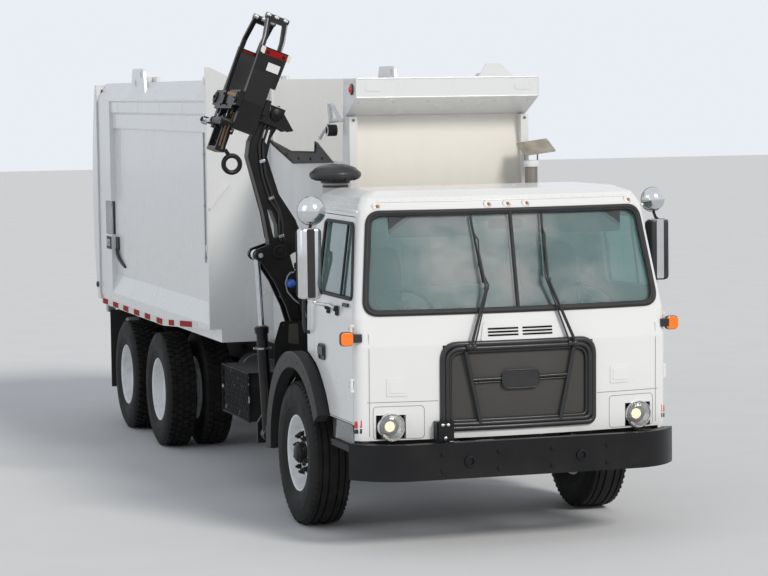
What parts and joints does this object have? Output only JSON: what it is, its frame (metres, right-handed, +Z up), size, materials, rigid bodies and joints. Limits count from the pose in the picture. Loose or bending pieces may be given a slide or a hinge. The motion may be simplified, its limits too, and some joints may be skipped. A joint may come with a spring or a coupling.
{
  "type": "garbage truck",
  "caption": "Side-loading refuse truck with a tall cab, an open hopper, a ribless packing body, a bulged tailgate and a raised gripper arm.",
  "frame": {"origin": "on the ground, midway between the bumper and the tailgate, on the truck's centre plane", "axes": "+X to the truck's left side, +Y to its rear, +Z up"},
  "size_m": [3.1546, 8.9705, 3.8519],
  "materials": {
    "body_white": "gloss",
    "chassis_black": "satin",
    "tyre_rubber": "matte",
    "wheel_white": "gloss",
    "window_glass": "gloss",
    "cylinder_chrome": "polished",
    "trim_black": "matte",
    "lamp_lens": "gloss",
    "cab_trim": "matte",
    "exhaust_steel": "satin"
  },
  "bodies": {
    "truck": {"chassis_frame": "chassis_black", "suspension": "chassis_black", "engine": "chassis_black", "front_axle": "chassis_black", "rear_axles": "chassis_black", "tanks": "chassis_black", "bumper": "chassis_black", "cab_shell": "body_white", "glazing": "window_glass", "grille": "trim_black", "lamps": "lamp_lens", "cab_interior": "cab_trim", "steering_wheels": "cab_trim", "fenders": "trim_black", "cab_steps": "chassis_black", "air_intake": "chassis_black", "exhaust": "exhaust_steel", "hopper_shell": "body_white", "hopper_header": "body_white", "spill_lip": "chassis_black", "body_shell": "body_white", "arm_base": "chassis_black"},
    "packer": {"packer_blade": "chassis_black"},
    "door_right": {"door_right": "body_white", "door_glass_right": "window_glass", "mirror_right": "trim_black"},
    "door_left": {"door_left": "body_white", "door_glass_left": "window_glass", "mirror_left": "trim_black"},
    "tailgate": {"tailgate": "body_white"},
    "arm_lower": {"arm_lower": "chassis_black"},
    "boom": {"boom": "chassis_black"},
    "lift_barrel": {"lift_barrel": "chassis_black"},
    "lift_rod": {"lift_rod": "cylinder_chrome"},
    "boom_barrel": {"boom_barrel": "chassis_black"},
    "boom_rod": {"boom_rod": "cylinder_chrome"},
    "gripper_head": {"gripper_head": "chassis_black"},
    "finger_front": {"finger_front": "chassis_black"},
    "finger_rear": {"finger_rear": "chassis_black"},
    "grip_barrel": {"grip_barrel": "chassis_black"},
    "grip_rod": {"grip_rod": "cylinder_chrome"},
    "knuckle_right": {"knuckle_right": "chassis_black"},
    "knuckle_left": {"knuckle_left": "chassis_black"},
    "wheel_front_right": {"tyre_front_right": "tyre_rubber", "rim_front_right": "wheel_white"},
    "wheel_front_left": {"tyre_front_left": "tyre_rubber", "rim_front_left": "wheel_white"},
    "wheels_middle_right": {"tyres_middle_right": "tyre_rubber", "rims_middle_right": "wheel_white"},
    "wheels_middle_left": {"tyres_middle_left": "tyre_rubber", "rims_middle_left": "wheel_white"},
    "wheels_rear_right": {"tyres_rear_right": "tyre_rubber", "rims_rear_right": "wheel_white"},
    "wheels_rear_left": {"tyres_rear_left": "tyre_rubber", "rims_rear_left": "wheel_white"}
  },
  "joints": [
    {"name": "steering_right", "type": "hinge", "parent": "truck", "child": "knuckle_right", "pos_m": [-0.88, -2.885, 0.538], "axis": [0, 0, 1], "range_deg": [-35, 35]},
    {"name": "wheel_front_right", "type": "hinge", "parent": "knuckle_right", "child": "wheel_front_right", "pos_m": [-1.098, -2.885, 0.538], "axis": [1, 0, 0], "continuous": true},
    {"name": "wheels_middle_right", "type": "hinge", "parent": "truck", "child": "wheels_middle_right", "pos_m": [-1.108, 1.833, 0.522], "axis": [1, 0, 0], "continuous": true},
    {"name": "wheels_rear_right", "type": "hinge", "parent": "truck", "child": "wheels_rear_right", "pos_m": [-1.108, 3.225, 0.522], "axis": [1, 0, 0], "continuous": true},
    {"name": "door_right", "type": "hinge", "parent": "truck", "child": "door_right", "pos_m": [-1.189, -4.189, 1.5], "axis": [0, 0, 1], "range_deg": [0, 70]},
    {"name": "steering_left", "type": "hinge", "parent": "truck", "child": "knuckle_left", "pos_m": [0.88, -2.885, 0.538], "axis": [0, 0, 1], "range_deg": [-35, 35]},
    {"name": "wheel_front_left", "type": "hinge", "parent": "knuckle_left", "child": "wheel_front_left", "pos_m": [1.098, -2.885, 0.538], "axis": [1, 0, 0], "continuous": true},
    {"name": "wheels_middle_left", "type": "hinge", "parent": "truck", "child": "wheels_middle_left", "pos_m": [1.108, 1.833, 0.522], "axis": [1, 0, 0], "continuous": true},
    {"name": "wheels_rear_left", "type": "hinge", "parent": "truck", "child": "wheels_rear_left", "pos_m": [1.108, 3.225, 0.522], "axis": [1, 0, 0], "continuous": true},
    {"name": "door_left", "type": "hinge", "parent": "truck", "child": "door_left", "pos_m": [1.189, -4.189, 1.5], "axis": [0, 0, -1], "range_deg": [0, 70]},
    {"name": "tailgate_lift", "type": "hinge", "parent": "truck", "child": "tailgate", "pos_m": [0, 4.241, 3.372], "axis": [1, 0, 0], "range_deg": [0, 80]},
    {"name": "packer_slide", "type": "slide", "parent": "truck", "child": "packer", "axis": [0, 1, 0], "range_m": [0, 1.35]},
    {"name": "arm_lift", "type": "hinge", "parent": "truck", "child": "arm_lower", "pos_m": [-0.9, -1.935, 1.25], "axis": [0, -1, 0], "range_deg": [0, 55]},
    {"name": "boom_fold", "type": "hinge", "parent": "arm_lower", "child": "boom", "pos_m": [-1.11, -1.935, 2], "axis": [0, -1, 0], "range_deg": [0, 50]},
    {"name": "gripper_tilt", "type": "hinge", "parent": "boom", "child": "gripper_head", "pos_m": [-1.115, -1.935, 3.06], "axis": [0, -1, 0], "range_deg": [-10, 15]},
    {"name": "grip_front", "type": "hinge", "parent": "gripper_head", "child": "finger_front", "pos_m": [-1.36707, -2.255, 3.15676], "axis": [0.9336, 0, -0.3584], "range_deg": [-6, 30]},
    {"name": "grip_rear", "type": "hinge", "parent": "gripper_head", "child": "finger_rear", "pos_m": [-1.36707, -1.615, 3.15676], "axis": [-0.9336, 0, 0.3584], "range_deg": [-6, 30]},
    {"name": "grip_barrel_pivot", "type": "hinge", "parent": "finger_front", "child": "grip_barrel", "pos_m": [-1.58438, -2.255, 3.02595], "axis": [0.9336, 0, -0.3584], "range_deg": [-30.5, 6.5]},
    {"name": "grip_rod_slide", "type": "slide", "parent": "grip_barrel", "child": "grip_rod", "axis": [0, 1, 0], "range_m": [-0.205, 0.045]},
    {"name": "lift_barrel_pivot", "type": "hinge", "parent": "truck", "child": "lift_barrel", "pos_m": [-1.195, -1.935, 0.56], "axis": [0, -1, 0], "range_deg": [-0.5, 29.9]},
    {"name": "lift_rod_slide", "type": "slide", "parent": "lift_barrel", "child": "lift_rod", "axis": [-0.0494, 0, 0.9988], "range_m": [-0.468, 0.005]},
    {"name": "boom_barrel_pivot", "type": "hinge", "parent": "arm_lower", "child": "boom_barrel", "pos_m": [-0.945, -1.935, 1.43], "axis": [0, -1, 0], "range_deg": [-0.5, 10]},
    {"name": "boom_rod_slide", "type": "slide", "parent": "boom_barrel", "child": "boom_rod", "axis": [0.0634, 0, 0.998], "range_m": [-0.005, 0.143]}
  ],
  "couplings": [
    {"joint": "steering_left", "follows": "steering_right", "ratio": 1},
    {"joint": "grip_rear", "follows": "grip_front", "ratio": 1},
    {"joint": "grip_barrel_pivot", "follows": "grip_front", "ratio": -1},
    {"joint": "grip_rod_slide", "follows": "grip_front", "m_per_rad": -0.385},
    {"joint": "lift_barrel_pivot", "follows": "arm_lift", "ratio": 0.53409},
    {"joint": "lift_rod_slide", "follows": "arm_lift", "m_per_rad": -0.48248},
    {"joint": "boom_barrel_pivot", "follows": "boom_fold", "ratio": 0.19077},
    {"joint": "boom_rod_slide", "follows": "boom_fold", "m_per_rad": 0.15862}
  ]
}
